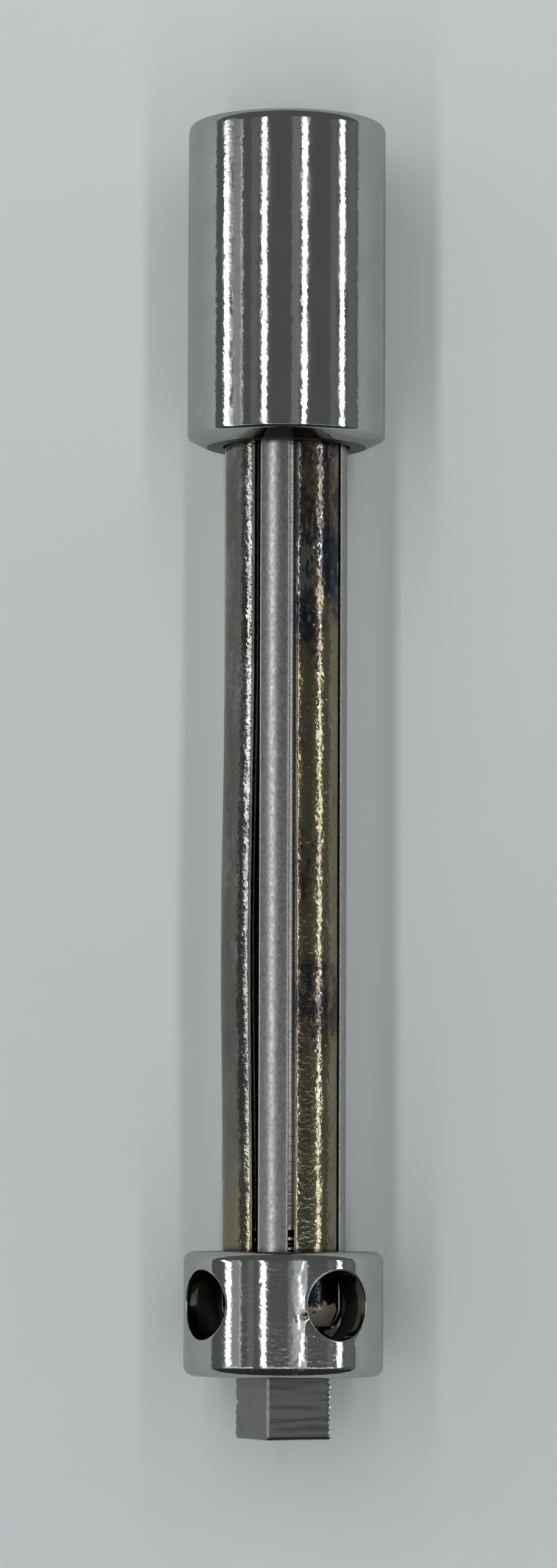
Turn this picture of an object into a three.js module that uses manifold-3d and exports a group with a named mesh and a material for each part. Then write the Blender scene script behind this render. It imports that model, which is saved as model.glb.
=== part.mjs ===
// Segmented spindle, about 133 mm long. A plain cylindrical head holds one end of a steel rod. Eight curved
// staves, four wide and four narrow, stand round the rod like a slit tube. A round collar screws onto the
// other end of the rod, holds the staves together and has four holes for a tommy bar. A short square tang,
// milled on the threaded rod, stands out of the collar.
//
// Millimetres. The axis is +Z, the head stands on z = 0 and the tang points up.

import * as THREE from 'three';
import { mergeVertices } from 'three/addons/utils/BufferGeometryUtils.js';
import Module from 'manifold-3d';

const wasm = await Module();
wasm.setup();

// Head.
const HEAD_RADIUS = 10;
const HEAD_LENGTH = 33.05;
const HEAD_END_FILLET = 0.95;
const HEAD_BEVEL_HEIGHT = 0.9;
const HEAD_BEVEL_WIDTH = 1.8;
const SOCKET_DEPTH = 7;

// Staves. They turn inside the head's socket and round the rod, so both fits have room.
const STAVE_OUTER_RADIUS = 6.2;
const STAVE_THICKNESS = 0.9;
const STAVE_ROOM = 0.2;
const STAVE_PAIRS = 4;
const KERF_WIDTH = 0.58;
const NARROW_STAVE_DEGREES = 35;
const STAVE_EDGE_BREAK = 0.2;
const STAVE_END_BEVEL = 1.5;
const STAVE_END_EDGE = 0.15;
const BOW_HEIGHT = 0.38;
const BOW_MIDDLE = 83;
const BOW_HALF_LENGTH = 30;

// Collar. Its counterbore takes the staves, and its threaded web runs on the rod.
const COLLAR_RADIUS = 10;
const COLLAR_START = 114.1;
const COLLAR_LENGTH = 12.45;
const COLLAR_EDGE_FILLET = 1.05;
const COUNTERBORE_DEPTH = 8.9;
const BORE_EDGE_BREAK = 0.4;
const TOMMY_HOLE_RADIUS = 3.45;
const TOMMY_HOLE_DISTANCE = 5.3;
const TOMMY_HOLES = 4;
const STAVE_END_IN_COLLAR = 7.4;

// Rod with its square tang. The thread's form is left out: the rod has the thread's outer size.
const ROD_RADIUS = 5;
const ROD_START = 12;
const ROD_END_BREAK = 0.3;
const ROD_PRESS_ROOM = 0.02;
const THREAD_ROOM = 0.1;
const TANG_WIDTH = 7.1;
const TANG_LENGTH = 6.15;
const TANG_DEGREES = 7.4;
const TOTAL_LENGTH = 132.8;

// Fineness of the faceted round forms.
const ROUND_SIDES = 64;
const FILLET_STEPS = 4;
const HOLE_SIDES = 32;
const STAVE_ARC_STEPS = 8;
const BOW_STEPS = 12;

// Sizes worked out from the ones above.
const STAVE_INNER_RADIUS = STAVE_OUTER_RADIUS - STAVE_THICKNESS;
const SOCKET_RADIUS = STAVE_OUTER_RADIUS + STAVE_ROOM;
const STAVE_START = HEAD_LENGTH - SOCKET_DEPTH + STAVE_ROOM;
const STAVE_END = COLLAR_START + STAVE_END_IN_COLLAR;
const WIDE_STAVE_DEGREES = 360 / STAVE_PAIRS - NARROW_STAVE_DEGREES;

const polishedSteel = { color: 0x9b9d9f, metalness: 1, roughness: 0.15 };
const satinSteel = { color: 0x9a9b98, metalness: 1, roughness: 0.35 };
const temperedSteel = { color: 0x4b4234, metalness: 1, roughness: 0.2 };
const milledSteel = { color: 0x86867f, metalness: 1, roughness: 0.45 };

// A quarter circle in a lathe profile, as points (radius, height), from one angle to another.
function filletPoints(centreRadius, centreHeight, radius, fromAngle, toAngle) {
  return Array.from({ length: FILLET_STEPS + 1 }, (_, step) => {
    const angle = THREE.MathUtils.lerp(fromAngle, toAngle, step / FILLET_STEPS);
    return [centreRadius + radius * Math.cos(angle), centreHeight + radius * Math.sin(angle)];
  });
}

// A turned form: the profile's points are (radius, height), and the height runs along +Z.
function turned(profile) {
  const points = profile.map(([radius, height]) => new THREE.Vector2(radius, height));
  return new THREE.LatheGeometry(points, ROUND_SIDES).rotateX(Math.PI / 2);
}

// The geometry's positions and triangles with shared corners merged and the flat slivers at the axis left out.
function welded(geometry) {
  const bare = geometry.clone();
  bare.deleteAttribute('normal');
  bare.deleteAttribute('uv');
  const merged = mergeVertices(bare);
  const corners = merged.index.array;
  const kept = [];
  for (let start = 0; start < corners.length; start += 3) {
    const [a, b, c] = corners.slice(start, start + 3);
    if (a !== b && b !== c && c !== a) kept.push(a, b, c);
  }
  merged.setIndex(kept);
  return merged;
}

function toSolid(geometry) {
  const merged = welded(geometry);
  const vertProperties = new Float32Array(merged.attributes.position.array);
  const triVerts = new Uint32Array(merged.index.array);
  return new wasm.Manifold(new wasm.Mesh({ numProp: 3, vertProperties, triVerts }));
}

function toGeometry(solid) {
  const mesh = solid.getMesh();
  const geometry = new THREE.BufferGeometry();
  geometry.setAttribute('position', new THREE.BufferAttribute(mesh.vertProperties, 3));
  geometry.setIndex(new THREE.BufferAttribute(mesh.triVerts, 1));
  return geometry;
}

function cut(geometry, cutters) {
  return toGeometry(cutters.reduce((solid, cutter) => solid.subtract(toSolid(cutter)), toSolid(geometry)));
}

// Head: a plain end with a rounded edge, and at the other end a wide socket for the staves and a hole that the
// rod is pressed into.
function headGeometry() {
  const rodHoleRadius = ROD_RADIUS + ROD_PRESS_ROOM;
  const rodHoleFloor = ROD_START - ROD_END_BREAK;
  return welded(turned([
    [0, 0],
    ...filletPoints(HEAD_RADIUS - HEAD_END_FILLET, HEAD_END_FILLET, HEAD_END_FILLET, -Math.PI / 2, 0),
    [HEAD_RADIUS, HEAD_LENGTH - HEAD_BEVEL_HEIGHT],
    [HEAD_RADIUS - HEAD_BEVEL_WIDTH, HEAD_LENGTH],
    [SOCKET_RADIUS, HEAD_LENGTH],
    [SOCKET_RADIUS, HEAD_LENGTH - SOCKET_DEPTH],
    [rodHoleRadius, HEAD_LENGTH - SOCKET_DEPTH],
    [rodHoleRadius, rodHoleFloor],
    [0, rodHoleFloor],
  ]));
}

// Rod: a plain bar whose last stretch has four milled flats. The square's corners keep the bar's round.
function rodGeometry() {
  const bar = turned([
    [0, ROD_START],
    [ROD_RADIUS - ROD_END_BREAK, ROD_START],
    [ROD_RADIUS, ROD_START + ROD_END_BREAK],
    [ROD_RADIUS, TOTAL_LENGTH - ROD_END_BREAK],
    [ROD_RADIUS - ROD_END_BREAK, TOTAL_LENGTH],
    [0, TOTAL_LENGTH],
  ]);
  const flats = [0, 90, 180, 270].map((degrees) => {
    const block = new THREE.BoxGeometry(ROD_RADIUS, 3 * ROD_RADIUS, 2 * TANG_LENGTH);
    block.translate((TANG_WIDTH + ROD_RADIUS) / 2, 0, TOTAL_LENGTH);
    return block.rotateZ(THREE.MathUtils.degToRad(TANG_DEGREES + degrees));
  });
  return cut(bar, flats);
}

// Collar: a ring with rounded edges, a counterbore, a narrower bore and four radial holes.
function collarGeometry() {
  const boreRadius = ROD_RADIUS + THREAD_ROOM;
  const shoulder = COLLAR_RADIUS - COLLAR_EDGE_FILLET;
  const ring = turned([
    [SOCKET_RADIUS + BORE_EDGE_BREAK, 0],
    ...filletPoints(shoulder, COLLAR_EDGE_FILLET, COLLAR_EDGE_FILLET, -Math.PI / 2, 0),
    ...filletPoints(shoulder, COLLAR_LENGTH - COLLAR_EDGE_FILLET, COLLAR_EDGE_FILLET, 0, Math.PI / 2),
    [boreRadius + BORE_EDGE_BREAK, COLLAR_LENGTH],
    [boreRadius, COLLAR_LENGTH - BORE_EDGE_BREAK],
    [boreRadius, COUNTERBORE_DEPTH],
    [SOCKET_RADIUS, COUNTERBORE_DEPTH],
    [SOCKET_RADIUS, BORE_EDGE_BREAK],
    [SOCKET_RADIUS + BORE_EDGE_BREAK, 0],
  ]);
  const drills = Array.from({ length: TOMMY_HOLES }, (_, hole) => {
    const drill = new THREE.CylinderGeometry(TOMMY_HOLE_RADIUS, TOMMY_HOLE_RADIUS, COLLAR_RADIUS, HOLE_SIDES);
    drill.rotateZ(Math.PI / 2).translate(STAVE_INNER_RADIUS + COLLAR_RADIUS / 2, 0, TOMMY_HOLE_DISTANCE);
    return drill.rotateZ(hole * 2 * Math.PI / TOMMY_HOLES);
  });
  return cut(ring, drills);
}

// One stave's cross-section, centred on +X, as a closed counter-clockwise outline. The sides are parallel to
// the saw cuts, and the two outer edges are broken.
function staveSection(degrees, outerRadius) {
  const cutAngle = THREE.MathUtils.degToRad(degrees / 2);
  const edge = Math.min(STAVE_EDGE_BREAK, (outerRadius - STAVE_INNER_RADIUS) / 3);
  const sideAngle = (radius, inset) => cutAngle - Math.asin((KERF_WIDTH / 2 + inset) / radius);
  const arc = (radius, from, to) => Array.from({ length: STAVE_ARC_STEPS + 1 }, (_, step) => (
    [radius, THREE.MathUtils.lerp(from, to, step / STAVE_ARC_STEPS)]
  ));
  const outerAngle = sideAngle(outerRadius, edge);
  const innerAngle = sideAngle(STAVE_INNER_RADIUS, 0);
  const brokenRadius = outerRadius - edge;
  const brokenAngle = sideAngle(brokenRadius, 0);
  const polar = [
    ...arc(outerRadius, -outerAngle, outerAngle),
    [brokenRadius, brokenAngle],
    ...arc(STAVE_INNER_RADIUS, innerAngle, -innerAngle),
    [brokenRadius, -brokenAngle],
  ];
  return polar.map(([radius, angle]) => new THREE.Vector2(radius * Math.cos(angle), radius * Math.sin(angle)));
}

// How far a bowed stave stands out at a height: one smooth swell with level ends.
function bowAt(height, bowHeight) {
  const reach = (height - BOW_MIDDLE) / BOW_HALF_LENGTH;
  return Math.abs(reach) < 1 ? bowHeight * Math.cos(reach * Math.PI / 2) ** 2 : 0;
}

// A stave is its section carried up from the socket in the head to a bevelled end inside the collar.
function staveGeometry(degrees, bowHeight) {
  const bowSteps = bowHeight > 0 ? BOW_STEPS : 0;
  const bowHeights = Array.from({ length: bowSteps + 1 }, (_, step) => (
    BOW_MIDDLE + BOW_HALF_LENGTH * (2 * step / Math.max(bowSteps, 1) - 1)
  ));
  const heights = [STAVE_START, ...bowHeights, STAVE_END - STAVE_END_BEVEL];
  const rings = heights.map((height) => ({ height, section: staveSection(degrees, STAVE_OUTER_RADIUS) }));
  rings.push({ height: STAVE_END, section: staveSection(degrees, STAVE_INNER_RADIUS + STAVE_END_EDGE) });

  const count = rings[0].section.length;
  const positions = rings.flatMap(({ height, section }) => (
    section.flatMap(({ x, y }) => [x + bowAt(height, bowHeight), y, height])
  ));
  const corners = [];
  for (let ring = 0; ring < rings.length - 1; ring += 1) {
    for (let point = 0; point < count; point += 1) {
      const here = ring * count + point;
      const next = ring * count + (point + 1) % count;
      corners.push(here, next, next + count, here, next + count, here + count);
    }
  }
  const last = (rings.length - 1) * count;
  for (const [a, b, c] of THREE.ShapeUtils.triangulateShape(rings[0].section, [])) corners.push(a, c, b);
  for (const [a, b, c] of THREE.ShapeUtils.triangulateShape(rings.at(-1).section, [])) {
    corners.push(last + a, last + b, last + c);
  }
  const geometry = new THREE.BufferGeometry();
  geometry.setAttribute('position', new THREE.Float32BufferAttribute(positions, 3));
  geometry.setIndex(corners);
  return geometry;
}

const spindle = new THREE.Group();

function addPiece(name, geometry, finish) {
  const mesh = new THREE.Mesh(geometry, new THREE.MeshStandardMaterial(finish));
  mesh.name = name;
  mesh.geometry.computeVertexNormals();
  spindle.add(mesh);
  return mesh;
}

addPiece('head', headGeometry(), polishedSteel);
addPiece('core_rod', rodGeometry(), milledSteel);
addPiece('collar', collarGeometry(), polishedSteel).position.z = COLLAR_START;

// The wide staves stand in line with the collar's holes, and the narrow ones between them. The first wide
// stave is sprung outwards at its middle.
for (let pair = 0; pair < STAVE_PAIRS; pair += 1) {
  const wideAngle = pair * 2 * Math.PI / STAVE_PAIRS;
  const wide = staveGeometry(WIDE_STAVE_DEGREES, pair === 0 ? BOW_HEIGHT : 0);
  const narrow = staveGeometry(NARROW_STAVE_DEGREES, 0);
  addPiece(`wide_stave_${pair + 1}`, wide, temperedSteel).rotation.z = wideAngle;
  addPiece(`narrow_stave_${pair + 1}`, narrow, satinSteel).rotation.z = wideAngle + Math.PI / STAVE_PAIRS;
}

export default spindle;
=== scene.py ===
import math

import bmesh
import bpy
import numpy as np
from mathutils import Matrix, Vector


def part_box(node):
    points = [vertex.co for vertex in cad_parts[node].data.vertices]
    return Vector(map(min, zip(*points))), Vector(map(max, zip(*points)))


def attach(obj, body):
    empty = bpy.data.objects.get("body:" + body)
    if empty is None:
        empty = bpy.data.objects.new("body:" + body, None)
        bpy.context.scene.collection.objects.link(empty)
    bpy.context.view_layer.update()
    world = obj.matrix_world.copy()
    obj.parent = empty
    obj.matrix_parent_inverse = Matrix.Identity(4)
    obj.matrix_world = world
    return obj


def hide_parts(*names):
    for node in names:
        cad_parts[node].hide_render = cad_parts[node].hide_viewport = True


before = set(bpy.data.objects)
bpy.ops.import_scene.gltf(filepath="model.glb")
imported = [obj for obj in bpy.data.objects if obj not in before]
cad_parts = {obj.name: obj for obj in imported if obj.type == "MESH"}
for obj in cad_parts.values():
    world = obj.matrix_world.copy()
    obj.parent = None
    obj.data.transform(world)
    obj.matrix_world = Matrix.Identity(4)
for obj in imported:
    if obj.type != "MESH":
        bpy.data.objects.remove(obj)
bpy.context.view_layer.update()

# ---------------------------------------------------------------------------------------------------------
# Head. A plain cylinder of polished steel, turned in one piece, with a rounded end edge and a soft bevel at
# the shaft's end. The spindle stands on it. Its socket holds the staves, and the rod is pressed into it.

MM = 0.001
HEAD_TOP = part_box("head")[1].z / MM
HEAD_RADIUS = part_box("head")[1].x / MM
HEAD_END_FILLET = 0.95
HEAD_BEVEL_HEIGHT = 0.9
HEAD_BEVEL_WIDTH = 1.8
HEAD_BEVEL_ROUND = 0.45
HEAD_SCUFF_DEGREES = -22.0
SOCKET_DEPTH = 7.0
SOCKET_RADIUS = 6.4
ROD_HOLE_RADIUS = 5.02
ROD_HOLE_FLOOR = 11.7
ROUND_COLUMNS = 384
HEAD_ROW = 0.17
RIPPLE_DEPTH = 0.0012
NICK_DEGREES = 13.5
NICK_HEIGHT = 25.3
NICK_DEPTH = 0.13
U_SCUFF_DEGREES = 4.0
U_SCUFF_HEIGHT = 30.2
U_SCUFF_DEPTH = 0.09
KNOCK_WIDTH = 0.2
STEEL = (0.6, 0.605, 0.595, 1)
STEEL_SHADE = (0.44, 0.47, 0.45, 1)
# The dark colour below is painted shade for the insides of the socket and the collar.
BORE_PAINTED_SHADE = (0.16, 0.165, 0.16, 1)
EDGE_TINT = (0.85, 0.85, 0.85, 1)


def polar(radius, degrees, height):
    """Points at a radius, an angle round +Z and a height: x = r cos a, y = r sin a, z = h."""
    radius, degrees, height = np.broadcast_arrays(radius, degrees, height)
    angle = np.radians(degrees)
    return np.stack([radius * np.cos(angle), radius * np.sin(angle), height], axis=-1)


def arc(centre_radius, centre_height, radius, start, end, steps=7):
    """Profile points (radius, height) on a circle's arc, from one angle in degrees to another."""
    angle = np.radians(np.linspace(start, end, steps))
    return np.stack([centre_radius + radius * np.cos(angle), centre_height + radius * np.sin(angle)], axis=1)


def turned(columns, *parts):
    """A profile of single points and arcs, each (radius, height), carried round +Z at the columns' angles."""
    profile = np.concatenate([np.atleast_2d(np.array(part, float)) for part in parts])
    return polar(profile[:, :1], columns, profile[:, 1:])


def ladder(start, end, step):
    """Values from start to end in equal steps of at most the given size."""
    return np.linspace(start, end, int(math.ceil(abs(end - start) / step)) + 1)


def drift(points, seed, short, long, waves=32):
    """A smooth random field in space, about within -1 to 1: a sum of sine waves whose directions, phases and
    wavelengths, from short to long in millimetres, are drawn from one seed."""
    rng = np.random.default_rng(seed)
    direction = rng.normal(size=(waves, 3))
    direction /= np.linalg.norm(direction, axis=1, keepdims=True)
    wavelength = np.exp(rng.uniform(math.log(short), math.log(long), waves))
    phase = rng.uniform(0, 2 * math.pi, waves)
    field = np.zeros(points.shape[:-1])
    for number in range(waves):
        field += np.sin(points @ (2 * math.pi * direction[number] / wavelength[number]) + phase[number])
    return field / math.sqrt(waves)


def moved_out(points, distance):
    """Points moved away from the Z axis by a distance each."""
    across = points[..., :2] / np.maximum(np.linalg.norm(points[..., :2], axis=-1, keepdims=True), 1e-9)
    return np.concatenate([points[..., :2] + across * distance[..., None], points[..., 2:]], axis=-1)


def closed_piece(name, grids, sharp_degrees=40):
    """A closed mesh from grids of points in millimetres, each rows x columns x 3. The grids share their
    border points, which are merged, and the faces are then turned outwards."""
    corners, faces, start = [], [], 0
    for grid in grids:
        rows, columns = grid.shape[:2]
        number = start + np.arange(rows * columns).reshape(rows, columns)
        quads = [number[:-1, :-1], number[:-1, 1:], number[1:, 1:], number[1:, :-1]]
        faces.append(np.stack(quads, axis=-1).reshape(-1, 4))
        corners.append(grid.reshape(-1, 3))
        start += rows * columns
    faces = np.concatenate(faces).astype(np.int32)
    mesh = bpy.data.meshes.new(name)
    mesh.vertices.add(start)
    mesh.vertices.foreach_set("co", (np.concatenate(corners) * MM).astype(np.float32).ravel())
    mesh.loops.add(faces.size)
    mesh.loops.foreach_set("vertex_index", faces.ravel())
    mesh.polygons.add(len(faces))
    mesh.polygons.foreach_set("loop_start", np.arange(0, faces.size, 4, dtype=np.int32))
    mesh.update(calc_edges=True)
    shell = bmesh.new()
    shell.from_mesh(mesh)
    bmesh.ops.remove_doubles(shell, verts=shell.verts, dist=3e-7)
    bmesh.ops.recalc_face_normals(shell, faces=shell.faces)
    shell.to_mesh(mesh)
    shell.free()
    mesh.shade_smooth()
    mesh.set_sharp_from_angle(angle=math.radians(sharp_degrees))
    piece = bpy.data.objects.new(name, mesh)
    bpy.context.scene.collection.objects.link(piece)
    return piece


def stand_in(piece, body, node, material):
    """Puts a fine piece in a CAD node's place: it rides on the body, hides the node and takes its finish."""
    piece.data.materials.append(material)
    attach(piece, body)
    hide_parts(node)


def add(tree, kind, inputs=None, **settings):
    """Adds a shader node. Settings are its own choices, and inputs are numbers or another node's outputs."""
    made = tree.nodes.new("ShaderNode" + kind)
    for name, value in settings.items():
        setattr(made, name, value)
    for key, value in (inputs or {}).items():
        if isinstance(value, bpy.types.NodeSocket):
            tree.links.new(value, made.inputs[key])
        else:
            made.inputs[key].default_value = value
    return made


def effect(name, inputs, outputs):
    """A shader node group with named number inputs and outputs of the given socket types."""
    group = bpy.data.node_groups.new(name, "ShaderNodeTree")
    for label, value in inputs.items():
        socket = group.interface.new_socket(label, in_out="INPUT", socket_type="NodeSocketFloat")
        socket.default_value = value
    for label, kind in outputs.items():
        group.interface.new_socket(label, in_out="OUTPUT", socket_type="NodeSocket" + kind)
    return group, group.nodes.new("NodeGroupInput").outputs, group.nodes.new("NodeGroupOutput").inputs


def use(tree, group, inputs=None):
    """Places an effect in a material with its own values."""
    placed = tree.nodes.new("ShaderNodeGroup")
    placed.node_tree = group
    for label, value in (inputs or {}).items():
        placed.inputs[label].default_value = value
    return placed.outputs


def scaled_place(tree, scale):
    """Object coordinates stretched by a scale for each axis."""
    place = add(tree, "TexCoord").outputs["Object"]
    return add(tree, "Mapping", {"Vector": place, "Scale": scale}).outputs["Vector"]


def noise(tree, scale, detail, roughness=0.5):
    """Smooth random values about 0.5. The scale is one number, or one for each axis."""
    even = isinstance(scale, (int, float)) or isinstance(scale, bpy.types.NodeSocket)
    place = add(tree, "TexCoord").outputs["Object"] if even else scaled_place(tree, scale)
    inputs = {"Vector": place, "Scale": scale if even else 1.0, "Detail": detail, "Roughness": roughness}
    return add(tree, "TexNoise", inputs).outputs["Fac"]


def spread(tree, value, start, end, low=0.0, high=1.0):
    """A value stretched and held within limits, so that start gives low and end gives high."""
    inputs = {"Value": value, "From Min": start, "From Max": end, "To Min": low, "To Max": high}
    return add(tree, "MapRange", inputs).outputs["Result"]


def blend(tree, share, first, second):
    """A colour that goes from the first to the second with the share."""
    return add(tree, "Mix", {0: share, 6: first, 7: second}, data_type="RGBA").outputs[2]


def product(tree, first, second):
    """first x second."""
    return add(tree, "Math", {0: first, 1: second}, operation="MULTIPLY").outputs[0]


def scaled_sum(tree, value, factor, rest):
    """value x factor + rest."""
    return add(tree, "Math", {0: value, 1: factor, 2: rest}, operation="MULTIPLY_ADD").outputs[0]


def bumped(tree, height, distance):
    """A normal that follows a height, which is worth a distance in millimetres."""
    return add(tree, "Bump", {"Height": height, "Distance": distance * MM, "Strength": 1.0}).outputs["Normal"]


def from_axis(tree):
    """Distance from the Z axis in millimetres."""
    across = scaled_place(tree, (1000, 1000, 0))
    return add(tree, "VectorMath", {0: across}, operation="LENGTH").outputs["Value"]


def height_above_foot(tree, scale=1):
    """Height above the spindle's foot, in metres times the scale."""
    return add(tree, "SeparateXYZ", {"Vector": scaled_place(tree, (scale, scale, scale))}).outputs["Z"]


def new_metal(name):
    """A metal material, with its node tree and its shader's inputs."""
    material = bpy.data.materials.new(name)
    material.use_nodes = True
    shader = material.node_tree.nodes["Principled BSDF"]
    shader.inputs["Metallic"].default_value = 1.0
    shader.inputs["Specular Tint"].default_value = EDGE_TINT
    return material, material.node_tree, shader.inputs


def feed(tree, inputs, sources):
    """Links outputs to inputs by the inputs' names."""
    for name, source in sources.items():
        tree.links.new(source, inputs[name])


# Grinding and handling marks that every bright face of the spindle has: a soft waviness, a fine random grain
# and small pits. Height feeds a bump, and Marks masks the pits.
marks, knob, result = effect("handling_marks", {"Pit Share": 0.1, "Wave Size": 0.6, "Grind": 1.0},
                             {"Height": "Float", "Marks": "Float"})
wave_scale = add(marks, "Math", {0: 1000.0, 1: knob["Wave Size"]}, operation="DIVIDE").outputs[0]
wave = noise(marks, wave_scale, 2.0, 0.45)
place = add(marks, "TexCoord").outputs["Object"]
pits = add(marks, "TexVoronoi", {"Vector": place, "Scale": 1400.0, "Randomness": 1.0})
chosen = add(marks, "SeparateColor", {"Color": pits.outputs["Color"]}).outputs["Red"]
rare = add(marks, "Math", {0: chosen, 1: knob["Pit Share"]}, operation="LESS_THAN").outputs[0]
pit = product(marks, rare, spread(marks, pits.outputs["Distance"], 0.1, 0.22, 1.0, 0.0))
ground = scaled_sum(marks, noise(marks, (1500, 1500, 2600), 2.0), knob["Grind"], wave)
feed(marks, result, {"Height": scaled_sum(marks, pit, -0.8, ground), "Marks": pit})


def polished_steel(name, pit_share, bore_radius, bore_start, scuffed_line, scuff_dulling):
    """Ground and polished steel: a mirror that handling marks make wavy and a little dull. Within the bore's
    radius, from its first height on, the faces are dull as drilled and bored, and their colour is darkened to
    a painted shade for the hollows. Along the scuffed line, given as x and y in millimetres, the polish is
    rubbed off in spots."""
    material, tree, shader = new_metal(name)
    worn = use(tree, marks, {"Wave Size": 0.6, "Pit Share": pit_share, "Grind": 2.0})
    cloud = noise(tree, 260.0, 3.0)
    rough = scaled_sum(tree, worn["Marks"], 0.25, spread(tree, cloud, 0.3, 0.7, 0.05, 0.12))
    across = scaled_place(tree, (1000, 1000, 0))
    line = add(tree, "VectorMath", {0: across, 1: (*scuffed_line, 0)}, operation="DISTANCE").outputs["Value"]
    rubbed = spread(tree, noise(tree, (1800, 1800, 700), 3.0), 0.38, 0.56)
    scuff = product(tree, spread(tree, line, 0.9, 0.5), rubbed)
    scuffed = scaled_sum(tree, scuff, scuff_dulling, rough)
    height = height_above_foot(tree, 1000)
    above = add(tree, "Math", {0: height, 1: bore_start}, operation="GREATER_THAN").outputs[0]
    # Painted shade: inside the bore's radius the faces get a dark base colour, along with a real dullness.
    bore = product(tree, spread(tree, from_axis(tree), bore_radius, bore_radius - 0.1), above)
    tone = blend(tree, cloud, STEEL, STEEL_SHADE)
    feed(tree, shader, {
        "Base Color": blend(tree, bore, tone, BORE_PAINTED_SHADE),
        "Roughness": scaled_sum(tree, bore, 0.3, scuffed),
        "Normal": bumped(tree, worn["Height"], 0.005),
    })
    return material


def angle_from(degrees, middle):
    """The angle from a middle, between -180 and 180 degrees."""
    return (degrees - middle + 180) % 360 - 180


def head_knocks(degrees, height):
    """Depth of the knocks near the head's upper edge: a short upright nick, and a scuff in the shape of a U,
    which is a band round a rounded outline that fades at its two ends."""
    nick_across = HEAD_RADIUS * np.radians(angle_from(degrees, NICK_DEGREES))
    nick = np.exp(-(nick_across / KNOCK_WIDTH) ** 2 - ((height - NICK_HEIGHT) / 0.45) ** 4)
    scuff_across = HEAD_RADIUS * np.radians(angle_from(degrees, U_SCUFF_DEGREES))
    outline = np.hypot(scuff_across, np.maximum(height - U_SCUFF_HEIGHT - 0.3, 0)) - 0.5
    scuff = np.exp(-(outline / KNOCK_WIDTH) ** 2 - (height - U_SCUFF_HEIGHT) ** 4)
    return NICK_DEPTH * nick + U_SCUFF_DEPTH * scuff


def head_surface():
    """The head's profile turned round +Z. On the cylinder the radius carries a grinding ripple of a few
    micrometres and the knocks."""
    columns = np.linspace(0, 360, ROUND_COLUMNS + 1)
    slope = math.degrees(math.atan2(HEAD_BEVEL_WIDTH, HEAD_BEVEL_HEIGHT))
    barrel_end = HEAD_TOP - HEAD_BEVEL_HEIGHT - HEAD_BEVEL_ROUND * math.tan(math.radians(slope / 2))
    side = ladder(HEAD_END_FILLET, barrel_end, HEAD_ROW)[:, None]
    barrel = polar(HEAD_RADIUS, columns, side)
    fade = np.clip(np.minimum(side - side[0], side[-1] - side) / 0.8, 0, 1)
    ripple = RIPPLE_DEPTH * (drift(barrel, 3, 0.7, 2.5) - 3)
    barrel = moved_out(barrel, fade * (np.minimum(ripple, 0) - head_knocks(columns, side)))
    fillet = arc(HEAD_RADIUS - HEAD_END_FILLET, HEAD_END_FILLET, HEAD_END_FILLET, -90, 0, 11)
    neck_radius = HEAD_RADIUS - HEAD_BEVEL_WIDTH
    upper = turned(
        columns,
        arc(HEAD_RADIUS - HEAD_BEVEL_ROUND, barrel_end, HEAD_BEVEL_ROUND, 0, slope, 12),
        (neck_radius, HEAD_TOP - 0.04),
        (neck_radius - 0.15, HEAD_TOP),
        (SOCKET_RADIUS + 0.1, HEAD_TOP),
        (SOCKET_RADIUS, HEAD_TOP - 0.1),
        (SOCKET_RADIUS, HEAD_TOP - SOCKET_DEPTH),
        (ROD_HOLE_RADIUS, HEAD_TOP - SOCKET_DEPTH),
        (ROD_HOLE_RADIUS, ROD_HOLE_FLOOR),
        (0, ROD_HOLE_FLOOR),
    )
    return [turned(columns, (0, 0), fillet), barrel, upper]


head_scuff = polar(HEAD_RADIUS, HEAD_SCUFF_DEGREES, 0.0)[:2]
# From a millimetre below the socket's floor on, and inside the neck, the head's faces get the painted bore
# shade.
bright_steel = polished_steel("polished_steel", 0.015, HEAD_RADIUS - HEAD_BEVEL_WIDTH - 0.05,
                              HEAD_TOP - SOCKET_DEPTH - 1, head_scuff, 0.12)
stand_in(closed_piece("spindle_head", head_surface()), "spindle", "head", bright_steel)

# ---------------------------------------------------------------------------------------------------------
# Core rod. A bar of plain steel inside the staves, pressed into the head. Its other end has a fine right-hand
# thread for the collar, and the last stretch is milled square across the thread to make the tang.

ROD_LOW, ROD_HIGH = (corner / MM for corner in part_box("core_rod"))
ROD_RADIUS = ROD_HIGH.x
THREAD_PITCH = 1.0
THREAD_DEPTH = 0.6
THREAD_START = 111.5
THREAD_ROW = 0.07
TANG_HALF_WIDTH = 3.55
TANG_LENGTH = 6.15
TANG_START = ROD_HIGH.z - TANG_LENGTH
TANG_FLAT_DEGREES = 7.4
TANG_END_BREAK = 0.28
WORN_CREST_RADIUS = 4.84
ROD_COLUMNS = 256


def near_angle(degrees, middle, width):
    """1 at an angle, falling smoothly to 0 over a width in degrees, round the circle."""
    return np.exp(-(angle_from(degrees, middle) / width) ** 2)


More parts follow.
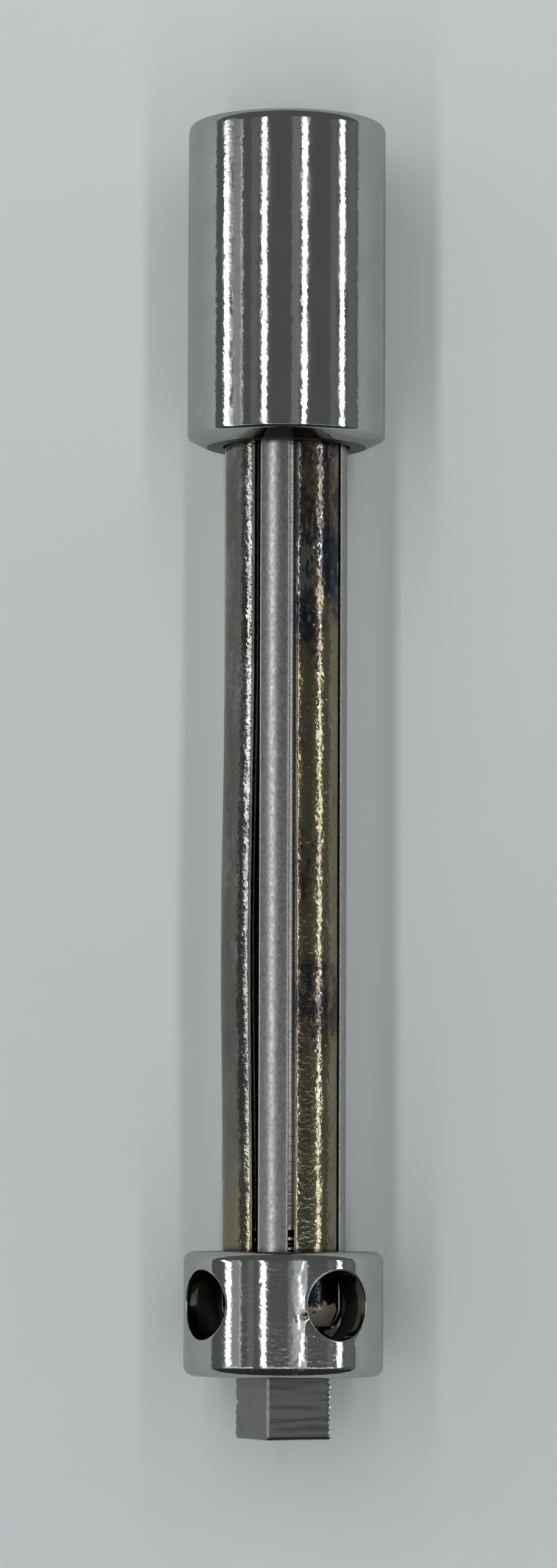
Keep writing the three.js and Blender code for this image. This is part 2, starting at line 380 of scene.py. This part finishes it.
def rod_radius(degrees, height, on_tang):
    """The bar's radius less a V groove that climbs one pitch for each turn. On the tang the radius is no more
    than the distance to the nearest flat. The groove is cut deepest at the rough corner there, and one corner
    is filed nearly smooth."""
    groove = np.abs((height / THREAD_PITCH - degrees / 360) % 1 - 0.5) * 2
    cut = np.clip((0.7 - groove) / 0.5, 0, 1)
    start = np.clip((height - THREAD_START) / THREAD_PITCH, 0, 1)
    if not on_tang:
        return ROD_RADIUS - THREAD_DEPTH * cut * start
    rough_corner = near_angle(degrees, TANG_FLAT_DEGREES - 135, 20)
    filed_corner = near_angle(degrees, TANG_FLAT_DEGREES - 45, 20)
    depth = 0.12 + 0.24 * rough_corner - 0.11 * filed_corner
    turn = np.radians((degrees - TANG_FLAT_DEGREES + 45) % 90 - 45)
    flat = TANG_HALF_WIDTH / np.cos(turn)
    across_nick = near_angle(degrees, TANG_FLAT_DEGREES + 45, 5)
    nick = 0.3 * across_nick * np.exp(-((height - TANG_START - 2.5) / 0.2) ** 2)
    return np.minimum(ROD_RADIUS - 0.1 * filed_corner - depth * cut, flat) - nick


def rod_surface():
    """The rod's radius over a grid of angles and heights, closed by flat ends. The columns start on a corner
    of the tang, so that every corner is sharp."""
    columns = TANG_FLAT_DEGREES + 45 + np.linspace(0, 360, ROD_COLUMNS + 1)
    plain = np.array([ROD_LOW.z + 0.3, 30, 60, 90, THREAD_START])[:, None]
    threaded = ladder(THREAD_START, TANG_START, THREAD_ROW)[:, None]
    tang = ladder(TANG_START, ROD_HIGH.z - TANG_END_BREAK, THREAD_ROW)[:, None]
    shank = polar(rod_radius(columns, np.concatenate([plain, threaded[1:]]), False), columns,
                  np.concatenate([plain, threaded[1:]]))
    square = polar(rod_radius(columns, tang, True), columns, tang)
    last = rod_radius(columns, tang[-1:], True)
    rounding = np.radians(np.linspace(0, 90, 5))[:, None]
    end = polar(last - TANG_END_BREAK * (1 - np.cos(rounding)), columns,
                ROD_HIGH.z - TANG_END_BREAK * (1 - np.sin(rounding)))
    shoulder = np.stack([shank[-1], square[0]])
    cap = np.stack([end[-1], polar(0 * columns, columns, ROD_HIGH.z)])
    foot = turned(columns, (0, ROD_LOW.z), (ROD_RADIUS - 0.3, ROD_LOW.z), (ROD_RADIUS, ROD_LOW.z + 0.3))
    return [foot, shank, shoulder, square, end, cap]


def milled_steel():
    """Milled steel with a grey skin. One flat keeps the cutter's coarse marks as darker bands across it, and
    the corners, where the thread's crests are left, are rubbed bright."""
    material, tree, shader = new_metal("milled_steel")
    lines = noise(tree, (120, 120, 5200), 3.0)
    coarse_flat = math.radians(TANG_FLAT_DEGREES - 90)
    facing = {0: scaled_place(tree, (1000, 1000, 1000)), 1: (math.cos(coarse_flat), math.sin(coarse_flat), 0)}
    out = add(tree, "VectorMath", facing, operation="DOT_PRODUCT").outputs["Value"]
    on_flat = spread(tree, out, TANG_HALF_WIDTH - 0.25, TANG_HALF_WIDTH - 0.05)
    cut = product(tree, spread(tree, noise(tree, (140, 140, 2100), 3.0), 0.5, 0.36), on_flat)
    corner = spread(tree, from_axis(tree), WORN_CREST_RADIUS, WORN_CREST_RADIUS + 0.05)
    skin = blend(tree, noise(tree, 420.0, 4.0), (0.23, 0.24, 0.225, 1), (0.34, 0.345, 0.32, 1))
    darker = blend(tree, on_flat, skin, (0.21, 0.215, 0.2, 1))
    cut_skin = blend(tree, cut, darker, (0.13, 0.135, 0.125, 1))
    feed(tree, shader, {
        "Base Color": blend(tree, corner, cut_skin, STEEL),
        "Roughness": scaled_sum(tree, corner, -0.12, spread(tree, lines, 0.3, 0.7, 0.3, 0.42)),
        "Normal": bumped(tree, scaled_sum(tree, cut, -1.5, lines), 0.0045),
    })
    return material


rod = closed_piece("core_rod_threaded", rod_surface(), 35)
stand_in(rod, "spindle", "core_rod", milled_steel())

# ---------------------------------------------------------------------------------------------------------
# Staves. A ground steel tube, slit lengthwise into four wide and four narrow pieces with bevelled ends. The
# wide ones were polished and then tinted by heat, and one of them is bowed. The narrow ones are clean satin.

STAVE_LOW, STAVE_HIGH = (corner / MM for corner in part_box("wide_stave_3"))
STAVE_OUTER_RADIUS = -STAVE_LOW.x
STAVE_INNER_RADIUS = STAVE_OUTER_RADIUS - 0.9
STAVE_END_BEVEL = 1.5
STAVE_END_EDGE = 0.15
STAVE_EDGE_BREAK = 0.2
STAVE_ROW = 0.2
KERF_WIDTH = 0.58
NARROW_DEGREES = 35
WIDE_DEGREES = 90 - NARROW_DEGREES
BOW_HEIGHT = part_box("wide_stave_1")[1].x / MM - STAVE_OUTER_RADIUS
BOW_MIDDLE = 83.0
BOW_HALF_LENGTH = 30.0
STAVE_DENTS = 0.014
STRIP_DENTS = 0.004


def stave_outline(degrees, outer, arc_steps):
    """One cross-section as polar columns (radius, angle), centred on angle 0, for each row's outer radius.
    The sides are parallel to the saw cuts, at an angle of half less asin(half a cut / radius), and the outer
    edges are quarter rounds."""
    edge = np.minimum(STAVE_EDGE_BREAK, (outer - STAVE_INNER_RADIUS) / 3)
    lean = np.radians(np.linspace(0, 90, 6))
    inner = np.full_like(outer, STAVE_INNER_RADIUS)

    def side(radius, inset):
        return degrees / 2 - np.degrees(np.arcsin((KERF_WIDTH / 2 + inset) / radius))

    round_radius = outer - edge * (1 - np.cos(lean))
    round_angle = side(round_radius, edge * (1 - np.sin(lean)))
    crown = np.linspace(-1, 1, arc_steps)[None, 1:-1] * side(outer, edge)
    floor = np.linspace(1, -1, 13)[None, :] * side(inner, 0)
    radius = [outer + 0 * crown, round_radius, inner + 0 * floor, round_radius[:, ::-1]]
    angle = [crown, round_angle, floor, -round_angle[:, ::-1]]
    radius, angle = np.concatenate(radius, axis=1), np.concatenate(angle, axis=1)
    return np.hstack([radius, radius[:, :1]]), np.hstack([angle, angle[:, :1]])


def stave_surface(degrees, middle, bow, dents, seed, arc_steps):
    """The cross-section carried along +Z, with a bevelled upper end. Its outside is pressed in by a random
    field of shallow dents, and a bowed stave is moved outwards by bow x cos squared of the reach."""
    bevel_start = STAVE_HIGH.z - STAVE_END_BEVEL
    heights = np.concatenate([ladder(STAVE_LOW.z, bevel_start, STAVE_ROW), [STAVE_HIGH.z]])[:, None]
    outer = np.where(heights > bevel_start + 1e-6, STAVE_INNER_RADIUS + STAVE_END_EDGE, STAVE_OUTER_RADIUS)
    radius, angle = stave_outline(degrees, outer, arc_steps)
    skin = polar(radius, angle + middle, heights)
    outside = np.clip((radius - STAVE_INNER_RADIUS) / (STAVE_OUTER_RADIUS - STAVE_INNER_RADIUS), 0, 1)
    field = np.clip(drift(skin, seed, 0.9, 3.5), -1, 1)
    skin = moved_out(skin, dents * outside * (field - 1) / 2)
    reach = np.clip((heights[:, 0] - BOW_MIDDLE) / BOW_HALF_LENGTH, -1, 1)
    skin[..., :2] += (bow * np.cos(reach * math.pi / 2) ** 2)[:, None, None] * polar(1.0, middle, 0.0)[:2]
    ends = (skin[0], skin[-1])
    caps = [np.stack([ring, np.broadcast_to(ring[:-1].mean(axis=0), ring.shape)]) for ring in ends]
    return [caps[0], skin, caps[1]]


# Temper colours: the tint that heat leaves on steel runs from clean grey through straw, olive and brown to
# purple, blue and black as the skin of oxide gets thicker. Small flecks of a thick skin are rubbed bare.
# Inside the collar the skin is even, and the near-black thickness the staves are given there is painted shade.
TEMPER_STOPS = [
    (0.0, (0.5, 0.5, 0.48)),
    (0.16, (0.17, 0.175, 0.167)),
    (0.32, (0.27, 0.26, 0.2)),
    (0.46, (0.275, 0.255, 0.16)),
    (0.6, (0.25, 0.21, 0.145)),
    (0.72, (0.11, 0.09, 0.085)),
    (0.85, (0.05, 0.06, 0.085)),
    (1.0, (0.022, 0.024, 0.026)),
]
BARE_STEEL = (0.5, 0.5, 0.48, 1)
OUTSIDE_END = 113.5


def ramp(tree, share, stops):
    """A colour that goes through stops, each (share, colour). The ramp starts with two stops of its own,
    which become the first and the last."""
    node = add(tree, "ValToRGB", {"Fac": share})
    ends = node.color_ramp.elements
    (ends[0].position, first), (ends[1].position, last) = stops[0], stops[-1]
    ends[0].color, ends[1].color = (*first, 1), (*last, 1)
    for position, colour in stops[1:-1]:
        node.color_ramp.elements.new(position).color = (*colour, 1)
    return node.outputs["Color"]


temper, knob, result = effect("temper_colour", {"Thickness": 0.3, "Patches": 0.2},
                              {"Color": "Color", "Dullness": "Float"})
outside = add(temper, "Math", {0: height_above_foot(temper), 1: OUTSIDE_END * MM}, operation="LESS_THAN")
outside = outside.outputs[0]
broad = noise(temper, (330, 330, 130), 3.0, 0.55)
fine = noise(temper, 1300.0, 3.0, 0.6)
swing = add(temper, "Math", {0: broad, 1: -0.5}, operation="ADD").outputs[0]
shiver = add(temper, "Math", {0: fine, 1: -0.5}, operation="ADD").outputs[0]
unevenness = product(temper, scaled_sum(temper, shiver, 0.45, swing), product(temper, knob["Patches"], 5.0))
uneven = {0: unevenness, 1: outside, 2: knob["Thickness"]}
thick = add(temper, "Math", uneven, operation="MULTIPLY_ADD", use_clamp=True).outputs[0]
flecks = noise(temper, (2600, 2600, 1000), 2.0)
crowd = scaled_sum(temper, noise(temper, (150, 150, 110), 2.0), 1.1, flecks)
rubbed = product(temper, spread(temper, crowd, 1.15, 1.22), outside)
bare = product(temper, rubbed, spread(temper, thick, 0.5, 0.7, 0.1, 0.6))
feed(temper, result, {
    "Color": blend(temper, bare, ramp(temper, thick, TEMPER_STOPS), BARE_STEEL),
    "Dullness": spread(temper, rubbed, 0.0, 1.0, 1.0, 0.0),
})

OXIDE_REACH = 130
CRUST_START = 121.6
CRUST_COLOUR = (0.3, 0.26, 0.21, 1)


def tempered_steel(name, thickness, patches):
    """Polished steel with a skin of oxide. Thickness lists (height in mm, thickness) along the stave. A tan
    crust sits on the end inside the collar."""
    material, tree, shader = new_metal(name)
    height = height_above_foot(tree)
    share = spread(tree, height, 0.0, OXIDE_REACH * MM)
    stops = [(where / OXIDE_REACH, (value, value, value)) for where, value in thickness]
    skin = tree.nodes.new("ShaderNodeGroup")
    skin.node_tree = temper
    skin.inputs["Patches"].default_value = patches
    tree.links.new(ramp(tree, share, stops), skin.inputs["Thickness"])
    worn = use(tree, marks, {"Wave Size": 0.5, "Pit Share": 0.05, "Grind": 2.0})
    rough = scaled_sum(tree, skin.outputs["Dullness"], 0.08, 0.06)
    crust_level = scaled_sum(tree, noise(tree, 700.0, 2.0), 4.5 * MM, height)
    crusted = spread(tree, crust_level, CRUST_START * MM, (CRUST_START + 0.3) * MM)
    feed(tree, shader, {
        "Base Color": blend(tree, crusted, skin.outputs["Color"], CRUST_COLOUR),
        "Metallic": spread(tree, crusted, 0.0, 1.0, 1.0, 0.15),
        "Roughness": scaled_sum(tree, worn["Marks"], 0.2, rough),
        "Normal": bumped(tree, worn["Height"], 0.018),
    })
    return material


def satin_steel():
    """Clean steel rubbed with fine abrasive: a speckled satin face."""
    material, tree, shader = new_metal("satin_steel")
    speck = noise(tree, (3800, 3800, 2200), 2.0)
    feed(tree, shader, {
        "Base Color": blend(tree, noise(tree, 700.0, 3.0), (0.39, 0.395, 0.39, 1), (0.5, 0.505, 0.495, 1)),
        "Roughness": spread(tree, speck, 0.3, 0.7, 0.21, 0.31),
        "Normal": bumped(tree, speck, 0.004),
    })
    return material


# Oxide along each wide stave, as (height in mm, thickness from 0 to 1). Inside the collar the values are a
# painted shade.
# Painted shade: inside the collar the staves run to nearly black, for the shade in the collar's hollow.
IN_COLLAR_PAINTED_SHADE = [(OUTSIDE_END, 0.5), (114.5, 0.97), (119.5, 0.97), (120.2, 0.56)]
BOWED_OXIDE = [(31, 0.15), (60, 0.16), (85, 0.17), (100, 0.22), *IN_COLLAR_PAINTED_SHADE]
FRONT_OXIDE = [
    (31, 0.68), (44, 0.76), (51, 0.68), (54, 0.6), (57, 0.46), (68, 0.49), (78, 0.52), (84, 0.57), (87, 0.64),
    (90, 0.75), (93, 0.64), (96, 0.5), (108, 0.45), *IN_COLLAR_PAINTED_SHADE,
]
LEFT_OXIDE = [(31, 0.3), (50, 0.55), (70, 0.68), (90, 0.5), (105, 0.36), *IN_COLLAR_PAINTED_SHADE]
BACK_OXIDE = [(31, 0.55), (45, 0.42), (62, 0.7), (80, 0.42), (98, 0.6), (108, 0.4), *IN_COLLAR_PAINTED_SHADE]

clean_satin = satin_steel()
STAVE_OXIDES = [(BOWED_OXIDE, 0.07), (LEFT_OXIDE, 0.2), (BACK_OXIDE, 0.2), (FRONT_OXIDE, 0.2)]
for number, (oxide, patches) in enumerate(STAVE_OXIDES, start=1):
    middle = 90 * (number - 1)
    bow = BOW_HEIGHT if number == 1 else 0
    wide_surface = stave_surface(WIDE_DEGREES, middle, bow, STAVE_DENTS, number, 48)
    wide = closed_piece(f"tempered_stave_{number}", wide_surface)
    tempered = tempered_steel(f"tempered_steel_{number}", oxide, patches)
    stand_in(wide, "staves", f"wide_stave_{number}", tempered)
    strip_surface = stave_surface(NARROW_DEGREES, middle + 45, 0, STRIP_DENTS, 10 + number, 32)
    strip = closed_piece(f"satin_stave_{number}", strip_surface)
    stand_in(strip, "staves", f"narrow_stave_{number}", clean_satin)

# ---------------------------------------------------------------------------------------------------------
# Collar. A round nut of polished steel with rounded edges and four drilled holes for a tommy bar. Its
# counterbore goes over the staves, and its threaded web runs on the rod.

COLLAR_LOW, COLLAR_HIGH = (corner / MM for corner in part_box("collar"))
COLLAR_RADIUS = COLLAR_HIGH.x
COLLAR_FILLET = 1.05
COUNTERBORE_DEPTH = 8.9
BORE_RADIUS = 5.1
BORE_EDGE_BREAK = 0.4
HOLE_RADIUS = 3.45
HOLE_HEIGHT = COLLAR_LOW.z + 5.3
HOLE_EDGE_ROUND = 0.16
QUARTER_STEPS = 56
KNOCK_DEGREES = -68.0
KNOCK_HEIGHT = HOLE_HEIGHT + 1.1
KNOCK_SIZE = 0.26
KNOCK_DEPTH = 0.16
SCUFF_DEGREES = -64.5
COLLAR_INSIDE_RADIUS = 8.8


def hole_ring(wall_radius, hole_radius, depth):
    """Points round a drilled hole: the circle y = r cos t, z = r sin t laid on a cylinder about Z, which
    gives x = sqrt(R squared - y squared), and moved towards the axis by a depth."""
    turn = np.radians(np.linspace(-135, 225, 4 * QUARTER_STEPS + 1))
    across, up = hole_radius * np.cos(turn), hole_radius * np.sin(turn)
    return np.stack([np.sqrt(wall_radius ** 2 - across ** 2) - depth, across, HOLE_HEIGHT + up], axis=-1)


def wall_around_hole(wall_radius, hole_radius, low, high, rows):
    """A quarter of a cylinder's wall with a hole in its middle. Each row lies between the rectangle's border
    and the hole's circle, both gone round in the same steps, in the unrolled plane (arc length, height)."""
    half = wall_radius * math.pi / 4
    step = np.linspace(0, 1, QUARTER_STEPS + 1)
    still = np.ones(QUARTER_STEPS)
    across, upward = 2 * half * step - half, low + (high - low) * step
    along = np.concatenate([across, half * still, across[-2::-1], -half * still])
    rise = np.concatenate([low * np.ones(QUARTER_STEPS + 1), upward[1:], high * still, upward[-2::-1]])
    ring = hole_ring(wall_radius, hole_radius, 0)
    ring_along = wall_radius * np.arcsin(ring[:, 1] / wall_radius)
    blend = np.linspace(0, 1, rows)[:, None]
    degrees = np.degrees(((1 - blend) * along + blend * ring_along) / wall_radius)
    return polar(wall_radius, degrees, (1 - blend) * rise + blend * ring[:, 2])


def collar_quarter():
    """The outer wall, the hole's rounded rim and wall, the counterbore's wall, and the profile strips of the
    two ends, for the quarter about +X."""
    low, high = COLLAR_LOW.z, COLLAR_HIGH.z
    floor = low + COUNTERBORE_DEPTH
    lean = np.radians(np.linspace(0, 90, 6))
    rim_radius = HOLE_RADIUS + HOLE_EDGE_ROUND * (1 - np.sin(lean))
    rim_depth = HOLE_EDGE_ROUND * (1 - np.cos(lean))
    rim = [hole_ring(COLLAR_RADIUS, radius, depth) for radius, depth in zip(rim_radius, rim_depth)]
    inner_rim = hole_ring(SOCKET_RADIUS, HOLE_RADIUS, 0)
    depth = np.linspace(0, 1, 9)[:, None, None]
    shaft = (1 - depth) * rim[-1] + depth * inner_rim
    columns = np.linspace(-45, 45, QUARTER_STEPS + 1)
    shoulder = COLLAR_RADIUS - COLLAR_FILLET
    lower_end = turned(
        columns,
        (SOCKET_RADIUS, low + BORE_EDGE_BREAK),
        (SOCKET_RADIUS + BORE_EDGE_BREAK, low),
        (shoulder - 0.05, low),
        arc(shoulder, low + COLLAR_FILLET, COLLAR_FILLET, -90, 0, 12),
    )
    upper_end = turned(
        columns,
        arc(shoulder, high - COLLAR_FILLET, COLLAR_FILLET, 0, 90, 12),
        (shoulder - 0.05, high),
        (BORE_RADIUS + BORE_EDGE_BREAK, high),
        (BORE_RADIUS, high - BORE_EDGE_BREAK),
        (BORE_RADIUS, floor),
        (SOCKET_RADIUS, floor),
    )
    outer = wall_around_hole(COLLAR_RADIUS, rim_radius[0], low + COLLAR_FILLET, high - COLLAR_FILLET, 20)
    inner = wall_around_hole(SOCKET_RADIUS, HOLE_RADIUS, low + BORE_EDGE_BREAK, floor, 8)
    return [outer, np.stack(rim), shaft, inner, lower_end, upper_end]


def quarter_turns(grids):
    """The grids at four quarter turns round +Z."""
    turns = []
    for quarter in range(4):
        cosine, sine = math.cos(quarter * math.pi / 2), math.sin(quarter * math.pi / 2)
        spin = np.array([[cosine, sine, 0], [-sine, cosine, 0], [0, 0, 1]])
        turns += [grid @ spin for grid in grids]
    return turns


def knocked_rim(grids):
    """The collar with a small knock beside the rim of its hole at -Y: points are pressed towards the axis by
    a bell-shaped depth about the knock's middle."""
    middle = polar(COLLAR_RADIUS, KNOCK_DEGREES, KNOCK_HEIGHT)
    bell = [np.exp(-(np.linalg.norm(grid - middle, axis=-1) / KNOCK_SIZE) ** 2) for grid in grids]
    return [moved_out(grid, -KNOCK_DEPTH * depth) for grid, depth in zip(grids, bell)]


scuffed_line = polar(COLLAR_RADIUS, SCUFF_DEGREES, 0.0)[:2]
# The collar's faces nearer the axis than 8.8 mm, in its holes and bores, get the painted bore shade.
worn_steel = polished_steel("polished_collar_steel", 0.03, COLLAR_INSIDE_RADIUS, 0, scuffed_line, 0.27)
collar = closed_piece("tommy_bar_collar", knocked_rim(quarter_turns(collar_quarter())))
stand_in(collar, "collar", "collar", worn_steel)

# ---------------------------------------------------------------------------------------------------------
# Studio. A plain pale board stands behind the spindle, as a bench would lie under it, in place of a floor.
# Long strip lights are set for the polished faces, and others give the diffuse light that the board shows. The
# camera looks at the spindle from its side, with the tang at the bottom of the picture.

VIEW_DEGREES = 34.4
VIEW_DISTANCE = 0.577
VIEW_HEIGHT = 0.111
VIEW_TARGET = 0.06716
VIEW_SIDEWAYS = -0.00067
VIEW_ROLL = -0.2
VIEW_LENS = 131.8
LIGHT_DISTANCE = 1.1
TUBE_ENDS = (-0.243, 0.2)
TUBE_RADIANCE = 4.2
CROSS_ROW_ENDS = (0.2, 0.29)
BOARD_LIGHT_ENDS = (-1.4, 1.6)
BOARD_LIGHT_WIDTH = 0.08

away = np.array([math.sin(math.radians(VIEW_DEGREES)), -math.cos(math.radians(VIEW_DEGREES)), 0])
right = np.array([away[1], -away[0], 0])


def aimed(item, spot, back, up):
    """Places a camera or light at a spot, looking against back, with up at its top."""
    side = np.cross(up, back)
    side /= np.linalg.norm(side)
    top = np.cross(back, side)
    matrix = np.eye(4)
    matrix[:3] = np.stack([side, top, back, spot], axis=1)
    item.matrix_world = Matrix(matrix.tolist())
    bpy.context.scene.collection.objects.link(item)


camera_data = bpy.data.cameras.new("camera")
camera_data.sensor_width = 36.0
camera_data.lens = VIEW_LENS
camera_data.clip_start = 0.01
camera = bpy.data.objects.new("camera", camera_data)
spot = away * VIEW_DISTANCE + np.array([0, 0, VIEW_HEIGHT]) + right * VIEW_SIDEWAYS
target = np.array([0, 0, VIEW_TARGET]) + right * VIEW_SIDEWAYS
back = (spot - target) / np.linalg.norm(spot - target)
roll = math.radians(VIEW_ROLL)
aimed(camera, spot, back, -math.cos(roll) * np.array([0, 0, 1.0]) + math.sin(roll) * right)
bpy.context.scene.camera = camera


def strip_light(name, degrees, width, ends, radiance, lean=0, seen_in="glossy"):
    """A flat strip of light beside the spindle, at an angle in degrees round it from the camera's side,
    parallel to it or leaning. It gives an even radiance, and counts either in glossy reflections, which make
    the metal's look, or as diffuse light, which makes the board's."""
    data = bpy.data.lights.new(name, "AREA")
    data.shape = "RECTANGLE"
    data.size = width
    data.size_y = ends[1] - ends[0]
    data.energy = radiance * math.pi * width * (ends[1] - ends[0])
    light = bpy.data.objects.new(name, data)
    turn = math.radians(degrees)
    outward = away * math.cos(turn) + right * math.sin(turn)
    along = right * math.cos(turn) - away * math.sin(turn)
    top = np.array([0, 0, math.cos(math.radians(lean))]) + along * math.sin(math.radians(lean))
    aimed(light, outward * LIGHT_DISTANCE + np.array([0, 0, sum(ends) / 2]), outward, top)
    light.visible_diffuse = seen_in == "diffuse"
    light.visible_glossy = seen_in == "glossy"


TUBES = [(-70.5, 0.11, 30, 8.1), (-24.6, 0.098, 12, 8.1), (20.5, 0.098, 0, 7.0), (67.6, 0.108, 0, 5.8)]
for number, (degrees, width, lean, board_radiance) in enumerate(TUBES, start=1):
    strip_light(f"tube_{number}", degrees, width, TUBE_ENDS, TUBE_RADIANCE, lean)
    strip_light(f"board_light_{number}", degrees, BOARD_LIGHT_WIDTH, BOARD_LIGHT_ENDS, board_radiance,
                seen_in="diffuse")
strip_light("board_fill", -20, 1.6, BOARD_LIGHT_ENDS, 0.3, seen_in="diffuse")

# Fainter things that a polished cylinder shows between the tubes: a dim panel and its bright edge at the
# left, pale doors, and the row of fittings across the tubes' ends.
strip_light("dim_panel", -57.5, 0.24, TUBE_ENDS, 0.25, 12)
strip_light("panel_edge", -52.5, 0.035, TUBE_ENDS, 0.45, 12)
strip_light("pale_door_1", -38, 0.15, TUBE_ENDS, 0.07)
strip_light("pale_door_2", 10, 0.17, TUBE_ENDS, 0.13)
strip_light("pale_door_3", 56, 0.14, TUBE_ENDS, 0.07)
strip_light("pale_door_4", 82, 0.25, TUBE_ENDS, 0.06)
for number, (degrees, width) in enumerate([(-54, 0.75), (-4, 0.75), (44, 0.7)], start=1):
    strip_light(f"cross_row_{number}", degrees, width, CROSS_ROW_ENDS, 1.0)

BOARD_GAP = 0.0101
BOARD_SIZE = 1.6
board_mesh = bpy.data.meshes.new("bench_board")
half = BOARD_SIZE / 2
up = np.array([0, 0, 1.0])
centre = -away * BOARD_GAP + up * VIEW_HEIGHT
corners = [centre + right * a * half + up * b * half for a, b in ((-1, -1), (1, -1), (1, 1), (-1, 1))]
board_mesh.from_pydata([list(corner) for corner in corners], [], [(0, 1, 2, 3)])
board = bpy.data.objects.new("bench_board", board_mesh)
bpy.context.scene.collection.objects.link(board)
if np.dot(np.array(board_mesh.polygons[0].normal), away) < 0:
    board_mesh.flip_normals()

# The paint is plain but for a faint mottle. The camera sees it with a painted light that brightens it a little
# towards the head, and the metal's reflections see a darker tone, a painted shade.
paint = bpy.data.materials.new("pale_board")
paint.use_nodes = True
tree = paint.node_tree
shader = tree.nodes["Principled BSDF"]
height = height_above_foot(tree)
# Painted light: a random mottle plus a tone that brightens towards the head.
mottle_and_painted_light = scaled_sum(tree, noise(tree, 30.0, 5.0), 0.5, spread(tree, height, 0.14, -0.01))
tone = blend(tree, mottle_and_painted_light, (0.565, 0.605, 0.61, 1), (0.66, 0.71, 0.71, 1))
far_end = spread(tree, height, 0.08, 0.115)
# Painted shade: reflections see a darker tone than the camera does.
reflection_painted_shade = blend(tree, far_end, (0.51, 0.53, 0.52, 1), (0.5, 0.52, 0.525, 1))
direct = add(tree, "LightPath").outputs["Is Camera Ray"]
tree.links.new(blend(tree, direct, reflection_painted_shade, tone), shader.inputs["Base Color"])
shader.inputs["Roughness"].default_value = 0.6
shader.inputs["Specular IOR Level"].default_value = 0.2
clear = add(tree, "BsdfTransparent")
facing = add(tree, "NewGeometry").outputs["Backfacing"]
seen = add(tree, "MixShader", {0: facing, 1: shader.outputs[0], 2: clear.outputs[0]})
tree.links.new(seen.outputs[0], tree.nodes["Material Output"].inputs["Surface"])
board_mesh.materials.append(paint)

# The room is dim for the metal and the board, dimmer above, and pale where the camera sees past the board.
world = bpy.data.worlds.new("room")
world.use_nodes = True
room = world.node_tree
glow = room.nodes["Background"]
glow.inputs["Strength"].default_value = 1.0
upward = add(room, "SeparateXYZ", {"Vector": add(room, "TexCoord").outputs["Generated"]}).outputs["Z"]
overhead = spread(room, upward, 0.2, 0.3)
walls = blend(room, overhead, (0.115, 0.12, 0.119, 1), (0.035, 0.036, 0.037, 1))
direct = add(room, "LightPath").outputs["Is Camera Ray"]
room.links.new(blend(room, direct, walls, (0.46, 0.5, 0.5, 1)), glow.inputs["Color"])
bpy.context.scene.world = world
bpy.context.scene.view_settings.view_transform = "Standard"
